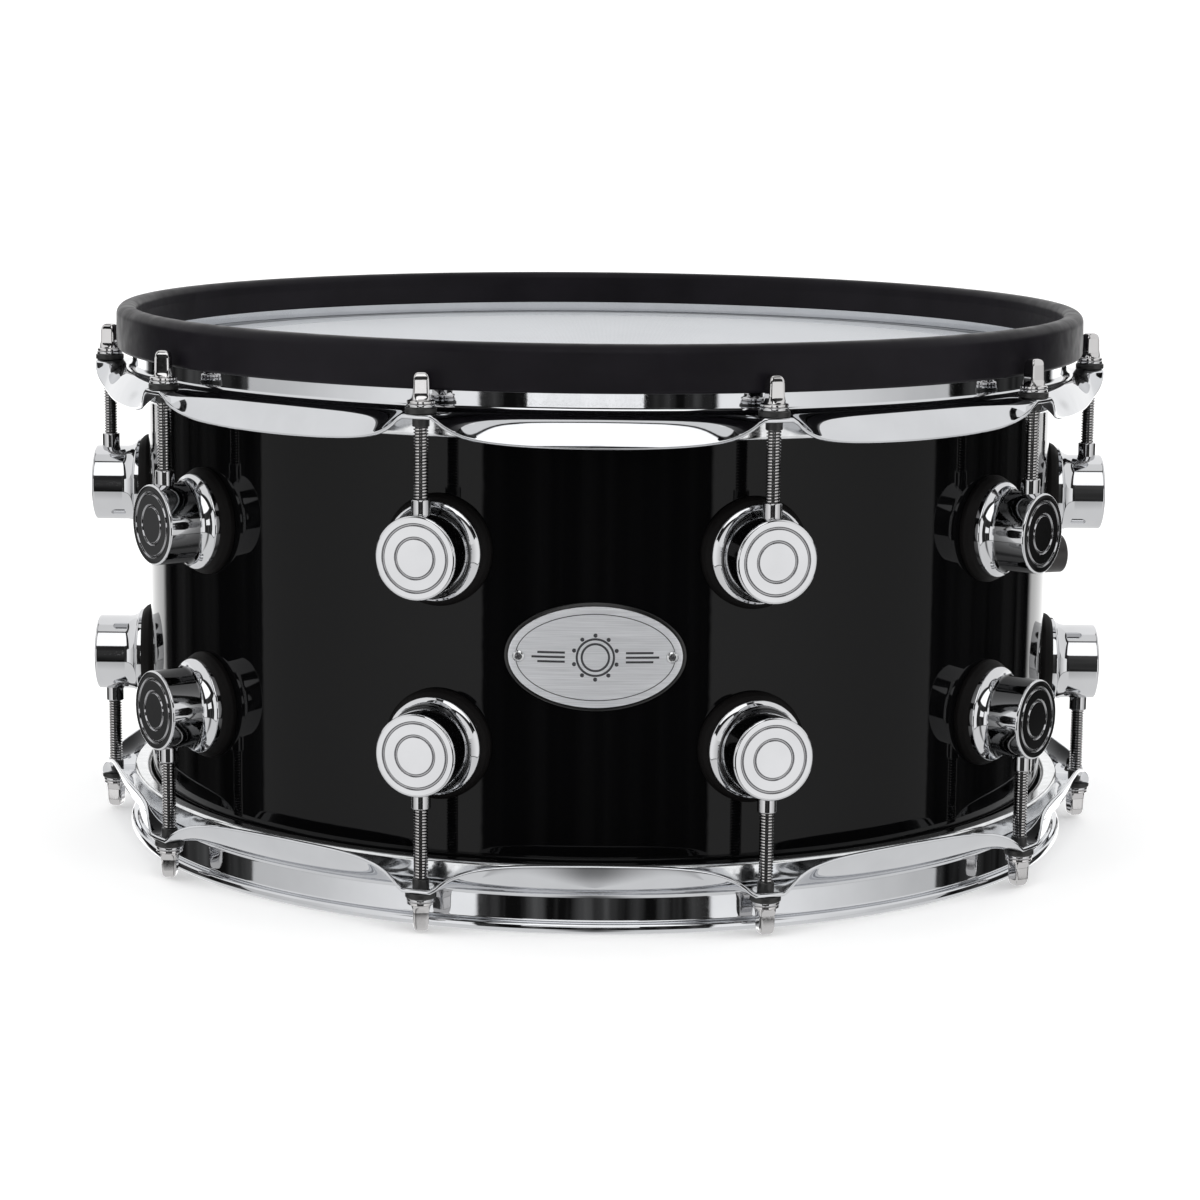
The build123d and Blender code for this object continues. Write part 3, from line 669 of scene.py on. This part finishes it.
# ---- hoops --------------------------------------------------------------------------------------
wall_inner = 180.8
wall_outer = wall_inner + sheet
bend_radius = 184.5             # where the skirt turns down from the wall
lip_radius, lip_depth = 185.2, 3.9
ear_length, skirt_length = 13.8, 12.0   # from the bend to the tip
ear_slope, skirt_droop = 0.6, 62.0      # degrees below level
flat_turn, droop_rate, ear_rate = 1.7, 3.7, 4.2     # degrees round the drum from an ear
start_bulge, end_bulge = 0.45, 0.22     # slopes off the chord with which the skirt starts and ends
flat_bulge = 0.015              # part of them that the flat ears keep
stations_per_column = 72


def skirt_line(turned_down, droop, length):
    """Middle line of the convex skirt, from the mitred bend to its tip, and the way across it."""
    along = np.array((math.cos(droop), -math.sin(droop)))
    across = np.array((math.sin(droop), math.cos(droop)))
    bend = np.array((bend_radius, flange_under + sheet / 2))
    share = flat_bulge + (1 - flat_bulge) * turned_down
    first, last = start_bulge * share, end_bulge * share
    points, normals = [], []
    for s in np.linspace(0, 1, 11):
        rise = length * (first * s * (1 - s) ** 2 + last * s * s * (1 - s))
        lean = first * (1 - s) * (1 - 3 * s) + last * s * (2 - 3 * s)
        points.append(bend + along * length * s + across * rise)
        normals.append((across - along * lean) / math.hypot(1, lean))
    normals[0] = np.array((math.tan((droop - math.atan(first)) / 2), 1))
    return points, normals


def hoop_section(turn):
    """Closed outline of the hoop at an angle in degrees from its nearest ear."""
    turned_down = 1 - math.exp(-max(0.0, turn - flat_turn) / droop_rate)
    droop = math.radians(ear_slope + (skirt_droop - ear_slope) * turned_down)
    length = skirt_length + (ear_length - skirt_length) * math.exp(-((turn / ear_rate) ** 2))
    half = sheet / 2
    points, normals = skirt_line(turned_down, droop, length)
    upper = [(*(p + n * half), 0) for p, n in zip(points, normals)]
    lower = [(*(p - n * half), 0) for p, n in zip(points, normals)]
    upper[-1], lower[-1] = (*upper[-1][:2], 0.6), (*lower[-1][:2], 0.6)
    return rounded(
        [
            (wall_inner, flange_under, 0.5),
            (wall_inner, lip_top, 1.5),
            (lip_radius, lip_top, 1.8),
            (lip_radius, lip_top - lip_depth, 1.5),
            (wall_outer, lip_top - lip_depth, 0.7),
            (wall_outer, flange_under + sheet, 2.3),
            *upper,
            *reversed(lower),
        ],
        closed=True,
    )


def hoop_grid():
    """The hoop's sections round the drum, with an ear at each column."""
    apart = 360.0 / COLUMNS
    rows = []
    for k in range(COLUMNS * stations_per_column):
        turn = 360.0 * k / (COLUMNS * stations_per_column)
        outline = hoop_section(abs((turn + apart / 2) % apart - apart / 2))
        c, s = math.cos(math.radians(turn)), math.sin(math.radians(turn))
        rows.append(np.stack((outline[:, 0] * c, outline[:, 0] * s, outline[:, 1]), axis=-1))
    return np.array(rows)


upper_hoop = hoop_grid()
for name, grid, node in (
    ("hoop_top", upper_hoop, "top_hoop"),
    ("hoop_bottom", mirrored(upper_hoop), "bottom_hoop"),
):
    hoop = surface(name, [grid], wrap_columns=True, sharp=60)
    place(hoop, hoop_chrome, "hoop_chrome", node)

# ---- flesh hoops --------------------------------------------------------------------------------
flesh_inner = 177.9
flesh_outline = rounded(
    [
        (flesh_inner, flesh_bottom, 1.2),
        (flesh_radius, flesh_bottom, 1.4),
        (flesh_radius, flange_under, 1.4),
        (flesh_inner, flange_under, 1.2),
    ],
    closed=True,
)
flesh_grid = lathe(flesh_outline, FINE)
for name, grid, node in (
    ("flesh_hoop_batter", flesh_grid, "batter_flesh_hoop"),
    ("flesh_hoop_resonant", mirrored(flesh_grid), "resonant_flesh_hoop"),
):
    place(surface(name, [grid], wrap_columns=True), flesh_metal, "flesh_hoop_metal", node)

# ---- rubber rim cover ---------------------------------------------------------------------------
cover_bottom = 188.5
cover_inner = 178.9
cover_inside_bottom = 191.9     # inside, a band of the hoop's wall shows between it and the head
cover_gap = 0.1                 # between the rubber and the hoop's lip
cover_outline = rounded(
    [
        (cover_inner, cover_inside_bottom, 0.6),
        (wall_inner - cover_gap, cover_inside_bottom, 0.4),
        (wall_inner - cover_gap, lip_top + cover_gap, 0.5),
        (lip_radius + cover_gap, lip_top + cover_gap, 0.5),
        (lip_radius + cover_gap, lip_top - lip_depth - cover_gap, 0.5),
        (wall_outer + cover_gap, lip_top - lip_depth - cover_gap, 0.5),
        (wall_outer + cover_gap, cover_bottom, 0.6),
        (cover_radius - 0.1, cover_bottom, 1.3),
        (cover_radius, cover_bottom + 7.0, 12.0),
        (cover_radius - 0.2, cover_crest, 4.6),
        (180.6, cover_crest, 3.6),
        (180.1, cover_crest - 5.5, 6.0),
    ],
    closed=True, steps=9,
)
place(
    surface("rim_cover_rubber", [lathe(cover_outline, FINE)], wrap_columns=True, sharp=50),
    rim_rubber, "rim_rubber", "rim_cover",
)

# ---- heads --------------------------------------------------------------------------------------
head_side = flesh_inner - 0.5   # inside of the head's side, which hangs in the flesh hoop
head_outline = rounded(
    [
        (0.0, head_top, 0),
        (flesh_inner - 1.6, head_top, 1.6),
        (flesh_inner, shell_top - 1.4, 1.0),
        (flesh_inner, flesh_bottom + 1, 0),
        (head_side, flesh_bottom + 1, 0),
        (head_side, shell_top - 1.7, 0.6),
        (head_side - 1.4, shell_top, 0.6),
        (0.0, shell_top, 0),
    ],
    steps=5,
)
head_grid = lathe(head_outline, FINE)
batter = surface("batter_head_mesh", [head_grid], sharp=40)
place(batter, head_white, "head_mesh", "batter_mesh")
resonant = surface("resonant_head_film", [mirrored(head_grid)], sharp=40)
place(resonant, film_white, "head_film", "resonant_film")
ring_inner = 162.5
ring_outline = rounded(
    [
        (ring_inner, head_top, 0),
        (ring_inner, collar_ring_top, 0.15),
        (collar_ring_radius, collar_ring_top, 0.15),
        (collar_ring_radius, head_top, 0),
    ],
    steps=3,
)
collar = surface("batter_collar_grey", [lathe(ring_outline, FINE)])
place(collar, collar_grey, "head_collar", "batter_collar_ring")

# ---- badge --------------------------------------------------------------------------------------
badge_centre = (badge_low + badge_high) / 2
badge_half_height = (badge_high - badge_low) / 2
border_half_height = badge_half_height + (border_half_width - badge_half_width)


def bent(x, z, radius):
    """Point of the badge, x along and z up from its centre, laid round the drum at a radius."""
    return (x, -math.sqrt(radius ** 2 - x ** 2), badge_centre + z)


def oval_sheet(half_width, half_height, inner, outer, edge, rings=14, around=160):
    """Oval plate bent round the drum, with a rounded rim."""
    inside = 1.0 - edge / half_height
    # parts of the oval's size, and radii from the drum's axis, from the rim to the middle
    levels = [
        (1.0, inner),
        (1.0, outer - edge * 0.6),
        (1.0 - 0.4 * edge / half_height, outer - edge * 0.15),
        (inside, outer),
    ]
    levels.extend((inside * (1 - ring / rings), outer) for ring in range(1, rings + 1))
    rows = []
    for k in range(around):
        turn = 2 * math.pi * k / around
        wide, high = half_width * math.cos(turn), half_height * math.sin(turn)
        rows.append([bent(wide * share, high * share, radius) for share, radius in levels])
    return np.array(rows)


border = oval_sheet(border_half_width, border_half_height, shell_radius, backing_face, 0.35)
place(surface("badge_border", [border]), badge_black, "badge_black", "badge_backing")
plate = oval_sheet(badge_half_width, badge_half_height, backing_face, badge_face, 0.3)
place(surface("badge_plate_brushed", [plate]), badge_metal, "badge_metal", "badge_plate")


def raised_band(paths, width, height):
    """Flat lines of paint standing a hair above the badge, along closed or open paths."""
    grids = []
    for path in paths:
        points = np.array(path, float)
        step = np.gradient(points, axis=0)
        normal = np.stack((-step[:, 1], step[:, 0]), axis=-1)
        normal /= np.linalg.norm(normal, axis=1)[:, None]
        left, right = points + normal * width / 2, points - normal * width / 2
        low, high = badge_face - 0.05, badge_face + height
        rows = [
            [bent(*a, low), bent(*a, high), bent(*b, high), bent(*b, low)]
            for a, b in zip(left, right)
        ]
        grids.append(np.array(rows))
    return grids


def oval_path(half_width, half_height, x=0.0, z=0.0, count=120):
    """Closed path round an oval."""
    turns = np.radians(np.linspace(0.0, 360.0, count))
    return np.stack((x + half_width * np.cos(turns), z + half_height * np.sin(turns)), axis=-1)


def emblem():
    """Generic mark: a drum seen from above, a ring with ten lugs, between two sets of lines."""
    outer_ring, inner_ring, lug_circle, lug_dot = 6.4, 4.7, 7.7, 0.35
    line_start = 10.5
    paths = [oval_path(outer_ring, outer_ring), oval_path(inner_ring, inner_ring)]
    for k in range(COLUMNS):
        turn = (k + 0.5) * STEP
        x, z = lug_circle * math.cos(turn), lug_circle * math.sin(turn)
        paths.append(oval_path(lug_dot, lug_dot, x, z, count=16))
    for side in (-1, 1):
        for level, line_end in ((1.6, 20.0), (-1.6, 20.0), (0.0, 22.0)):
            xs = np.linspace(line_start, line_end, 12) * side
            paths.append(np.stack((xs, 0 * xs + level), axis=-1))
    return paths


inset = 2.6                     # of the engraved border line from the badge's edge
border_line = [oval_path(badge_half_width - inset, badge_half_height - inset, count=200)]
grids = raised_band(border_line, 0.3, 0.04) + raised_band(emblem(), 0.75, 0.05)
place(surface("badge_emblem", grids, wrap_rows=False), engraving_and_painted_shade_black, "badge_black")

screw_aside = 26.4              # from the badge's middle, along the shell
screw_turn = math.degrees(screw_aside / shell_radius)
screw_angles = [math.radians(-90 + turn) for turn in (-screw_turn, screw_turn)]
screw_outline = rounded(
    [
        (2.15, badge_face - 0.3, 0),
        (2.15, badge_face + 0.35, 0.4),
        (1.4, badge_face + 0.85, 0.6),
        (0, badge_face + 0.9, 0),
    ],
    steps=5,
)
screw_grid = lathe(screw_outline, 40)
screw_heads = [outward(screw_grid, angle, badge_centre) for angle in screw_angles]
place(surface("badge_screw_heads", screw_heads), screw_metal, "small_screws", "badge_screws")

# The cross recess of each screw: two dark bars just proud of the head, painted shade in place of
# the recess.
bar_half_length, bar_half_width = 1.25, 0.24
bar_bottom, bar_top = badge_face + 0.3, badge_face + 0.93
bars = []
for angle in screw_angles:
    for lean in (20, 110):
        c, s = math.cos(math.radians(lean)), math.sin(math.radians(lean))
        corners = [
            (end * bar_half_length, side * bar_half_width)
            for end, side in ((1, 1), (-1, 1), (-1, -1), (1, -1))
        ]
        ring = [(c * x - s * y, s * x + c * y) for x, y in corners]
        low = [[x, y, bar_bottom] for x, y in ring]
        high = [[x, y, bar_top] for x, y in ring]
        top = [[0, 0, bar_top] for _ in ring]
        grid = np.array([low, high, top]).transpose(1, 0, 2)
        bars.append(outward(grid, angle, badge_centre))
place(surface("badge_screw_recesses", bars, sharp=20), engraving_and_painted_shade_black, "small_screws")

# ---- output socket ------------------------------------------------------------------------------
jack_angle = math.radians(18.0)
jack_reach = 203.0
jack_radius, jack_bore, jack_neck = 8.0, 3.25, 5.4
barrel_start = shell_radius + 4.0
barrel_outline = rounded(
    [
        (jack_neck, shell_radius - 2, 0),
        (jack_neck, barrel_start, 0.1),
        (jack_radius, barrel_start, 0.4),
        (jack_radius, barrel_start + 7, 0.3),
        (jack_radius - 0.3, barrel_start + 7.4, 0.2),
        (jack_radius - 0.3, barrel_start + 8.2, 0.2),
        (jack_radius, barrel_start + 8.6, 0.3),
        (jack_radius, jack_reach, 0.8),
        (4.6, jack_reach, 0.3),
        (4.3, jack_reach - 0.7, 0.3),
        (jack_bore, jack_reach - 0.7, 0.2),
        (jack_bore, shell_radius - 8, 0),
        (0.0, shell_radius - 8, 0),
    ],
    steps=4,
)
barrel = outward(lathe(barrel_outline, 96), jack_angle, mid_height)
place(surface("socket_barrel", [barrel]), socket_black, "socket_black", "jack_barrel")
jack_washer_bore, jack_washer_radius = 5.5, 9.6
jack_washer_bottom, jack_washer_top = shell_radius + 0.2, shell_radius + 1.4
jack_washer_outline = rounded(
    [
        (jack_washer_bore, jack_washer_bottom, 0),
        (jack_washer_radius, jack_washer_bottom, 0.2),
        (jack_washer_radius, jack_washer_top, 0.5),
        (jack_washer_bore, jack_washer_top, 0),
    ],
    steps=4,
)
washer = outward(lathe(jack_washer_outline, 72), jack_angle, mid_height)
place(surface("socket_washer", [washer]), nut_chrome, "nut_chrome", "jack_washer")


def hexagon_nut():
    """Nut with chamfered corners on the socket's neck."""
    half_across, bore = 7.45, 6.0
    turn = np.linspace(0, 2 * math.pi, 96, endpoint=False)
    flat = half_across / np.cos((turn + math.pi / 6) % (math.pi / 3) - math.pi / 6)
    low, high = jack_washer_top, barrel_start
    columns = []
    for height, limit in (
        (low, bore), (low, 9.0), (low + 0.4, 8.6), (high - 0.5, 8.6), (high, 8.0), (high, bore),
    ):
        columns.append(level_ring(turn, np.minimum(flat, limit), height))
    return outward(np.stack(columns, axis=1), jack_angle, mid_height)


place(surface("socket_nut", [hexagon_nut()], sharp=30), nut_chrome, "nut_chrome", "jack_nut")

# ---- CAD nodes that stay as they are: the hidden inside -----------------------------------------
brass = metal("contact_brass", (0.72, 0.52, 0.24), 0.3)
aluminium = metal("bridge_aluminium", (0.66, 0.67, 0.69), 0.3)
foam = rubber("trigger_foam", (0.05, 0.05, 0.055), 0.8, 0.95, grain=400.0)
lead_sheath = rubber("lead_sheath", (0.02, 0.02, 0.02), 0.4, 0.55)
inside = {
    brass: ("jack_tabs", "head_piezo", "rim_piezo"),
    aluminium: ("trigger_bridge", "trigger_plate"),
    foam: ("trigger_cone", "rim_piezo_pad"),
    lead_sheath: ("piezo_leads",),
    screw_metal: (
        "bridge_fixings", "top_lug_screws", "bottom_lug_screws",
        "top_lug_washers", "bottom_lug_washers",
    ),
    socket_black: ("jack_body",),
}
for material, nodes in inside.items():
    for node in nodes:
        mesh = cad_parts[node].data
        mesh.materials.clear()
        mesh.materials.append(material)

# ---- floor --------------------------------------------------------------------------------------
def floor_grid():
    """Floor that sweeps up into a backdrop behind the drum."""
    radius, back, front, wide, top = 1500.0, 2500.0, -3500.0, 5000.0, 4500.0
    line = [(front, 0.0)]
    for a in np.radians(np.linspace(0, 90, 25)):
        line.append((back + radius * math.sin(a), radius * (1 - math.cos(a))))
    line.append((back + radius, top))
    return np.array([[(x, y, z) for y, z in line] for x in (-wide, wide)])


floor = surface("floor", [floor_grid()], wrap_rows=False)
floor_look = Look("pale_floor", (0.93, 0.93, 0.93), roughness=0.9)
floor_look.colours(floor_look.noise(3.0), (0.92, 0.92, 0.92), (0.94, 0.94, 0.94))
floor_look.shader.inputs["Emission Color"].default_value = (1, 1, 1, 1)
floor_look.shader.inputs["Emission Strength"].default_value = 0.2
floor.data.materials.append(floor_look.material)
floor.visible_glossy = False

# ---- studio light -------------------------------------------------------------------------------
# The world is the studio: white all round for the eye and for soft light. Reflections see a dark
# room with a low and a tall panel on each side, an octabox high in front, a ceiling, a white wall
# behind and a pale table below.
world = bpy.data.worlds.new("studio")
bpy.context.scene.world = world
world.use_nodes = True
world.cycles.sampling_method = "NONE"
tree = world.node_tree
background = tree.nodes["Background"]
direction = tree.nodes.new("ShaderNodeTexCoord").outputs["Generated"]
apart = tree.nodes.new("ShaderNodeSeparateXYZ")
tree.links.new(direction, apart.inputs["Vector"])
light_path = tree.nodes.new("ShaderNodeLightPath")


def calc(operation, *values):
    """Math node on sockets or numbers."""
    node = tree.nodes.new("ShaderNodeMath")
    node.operation = operation
    for socket, value in zip(node.inputs, values):
        if isinstance(value, (int, float)):
            socket.default_value = value
        else:
            tree.links.new(value, socket)
    return node.outputs["Value"]


def ramp(value, start, end):
    """0 below start, 1 above end, smooth between."""
    node = tree.nodes.new("ShaderNodeMapRange")
    node.interpolation_type = "SMOOTHSTEP"
    node.inputs["From Min"].default_value = start
    node.inputs["From Max"].default_value = end
    tree.links.new(value, node.inputs["Value"])
    return node.outputs["Result"]


def inverse(value):
    """1 minus a value."""
    return calc("SUBTRACT", 1.0, value)


def window(value, start, end, soft):
    """1 between start and end with soft sides."""
    return calc("MULTIPLY", ramp(value, start - soft, start), inverse(ramp(value, end, end + soft)))


sideways = calc("ABSOLUTE", apart.outputs["X"])
frontward = calc("MULTIPLY", apart.outputs["Y"], -1.0)
azimuth = calc("DEGREES", calc("ARCTAN2", sideways, frontward))     # from the front, either side
elevation = calc("DEGREES", calc("ARCSINE", apart.outputs["Z"]))


def both(*values):
    """Product of sockets and numbers: where all windows are open, times the strength."""
    result = values[0]
    for value in values[1:]:
        result = calc("MULTIPLY", result, value)
    return result


def most(*values):
    """The brightest of several lights."""
    result = values[0]
    for value in values[1:]:
        result = calc("MAXIMUM", result, value)
    return result


# Each light is a window in azimuth and one in elevation: start, end and soft edge in degrees.
side_strength, side_fade = 1.15, 0.42
panel_fade = inverse(calc("MULTIPLY", ramp(azimuth, 30.0, 92.0), side_fade))
side_panels = both(
    window(azimuth, 28.5, 91.0, 1.2), window(elevation, -21.5, 14.0, 0.8),
    panel_fade, side_strength,
)
tall_panels = both(window(azimuth, 50.0, 145.0, 5.0), window(elevation, 10.0, 61.0, 2.0))
octabox_strength, ceiling_strength = 1.6, 0.9       # the octabox is open across the front
octabox = both(
    window(azimuth, -10.0, 26.0, 1.5), window(elevation, 28.0, 68.0, 2.5), octabox_strength,
)
ceiling = both(ramp(elevation, 72.0, 74.0), ceiling_strength)
backdrop_strength, wall_strength = 1.7, 1.1
behind = ramp(azimuth, 141.0, 146.0)
backdrop = both(behind, window(elevation, -22.0, -4.0, 3.0), backdrop_strength)
back_wall = both(behind, ramp(elevation, -8.0, -4.0), wall_strength)
table_side = 0.84
table_near, table_falloff = 0.62, 0.5       # in front: under the drum, and lost towards the edge
table_front = calc(
    "SUBTRACT", table_near, calc("MULTIPLY", ramp(elevation, -80.0, -38.0), table_falloff),
)
lit_table = calc(
    "ADD", table_front,
    calc("MULTIPLY", ramp(azimuth, 0.0, 15.0), calc("SUBTRACT", table_side, table_front)),
)
table = both(inverse(ramp(elevation, -24.0, -22.0)), lit_table)

# Faint upright streaks of the dark room.
streaks = tree.nodes.new("ShaderNodeTexNoise")
streaks.inputs["Scale"].default_value = 1.0
streaks.inputs["Detail"].default_value = 4.0
stretch = tree.nodes.new("ShaderNodeMapping")
stretch.inputs["Scale"].default_value = (14.0, 6.0, 0.6)
tree.links.new(direction, stretch.inputs["Vector"])
tree.links.new(stretch.outputs["Vector"], streaks.inputs["Vector"])
streak_cut, room_floor, room_strength = 0.38, 0.02, 0.28
room = calc("MAXIMUM", calc("SUBTRACT", streaks.outputs["Fac"], streak_cut), room_floor)
dim_room = calc("MULTIPLY", room, room_strength)
glossy = most(
    side_panels, tall_panels, octabox, ceiling, backdrop, back_wall, table, dim_room,
)

diffuse_strength = 1.07
camera_rays = light_path.outputs["Is Camera Ray"]
glossy_rays = light_path.outputs["Is Glossy Ray"]
other_rays = inverse(calc("MAXIMUM", camera_rays, glossy_rays))
reflected = calc("MULTIPLY", glossy_rays, glossy)
soft_light = calc("MULTIPLY", other_rays, diffuse_strength)
strength = calc("ADD", camera_rays, calc("ADD", reflected, soft_light))
tree.links.new(strength, background.inputs["Strength"])
background.inputs["Color"].default_value = (1, 1, 1, 1)

overhead_lamp = bpy.data.lights.new("overhead_softbox", "AREA")
overhead_lamp.shape = "RECTANGLE"
overhead_lamp.size, overhead_lamp.size_y = 1.6, 1.2
overhead_lamp.energy = 4.0
overhead_lamp.specular_factor = 0.0
lamp = bpy.data.objects.new("overhead_softbox", overhead_lamp)
lamp.location = (0.0, -0.5, 1.7)
lamp.rotation_euler = (math.radians(16), 0, 0)
lamp.visible_glossy = False
bpy.context.scene.collection.objects.link(lamp)

# White card in front of the drum, which only shows in reflections.
card_width, card_height, card_radiance = 0.625, 0.3, 1.25
card_light = bpy.data.lights.new("front_card", "AREA")
card_light.shape = "RECTANGLE"
card_light.size, card_light.size_y = card_width, card_height
card_light.energy = card_radiance * math.pi * card_width * card_height
card = bpy.data.objects.new("front_card", card_light)
card.location = (-0.0725, -1.4, 0.195)
card.rotation_euler = (math.radians(90), 0, 0)
card.visible_diffuse = False
card.visible_camera = False
bpy.context.scene.collection.objects.link(card)

# ---- camera -------------------------------------------------------------------------------------
camera_place = Vector((3.5, -1259.2, 299.5)) * MM
yaw, pitch, roll = (math.radians(a) for a in (-0.111, 9.596, 0.557))
forward = Vector(
    (math.sin(yaw) * math.cos(pitch), math.cos(yaw) * math.cos(pitch), -math.sin(pitch))
)
level = Vector((math.cos(yaw), -math.sin(yaw), 0))
upright = level.cross(forward)
right = level * math.cos(roll) + upright * math.sin(roll)
up = upright * math.cos(roll) - level * math.sin(roll)
lens = bpy.data.cameras.new("camera")
lens.sensor_width = 36.0
lens.lens = 95.93
lens.clip_end = 50.0
camera = bpy.data.objects.new("camera", lens)
axes = Matrix((right, up, -forward)).transposed().to_4x4()
camera.matrix_world = Matrix.Translation(camera_place) @ axes
bpy.context.scene.collection.objects.link(camera)
bpy.context.scene.camera = camera
bpy.context.scene.view_settings.view_transform = "Standard"
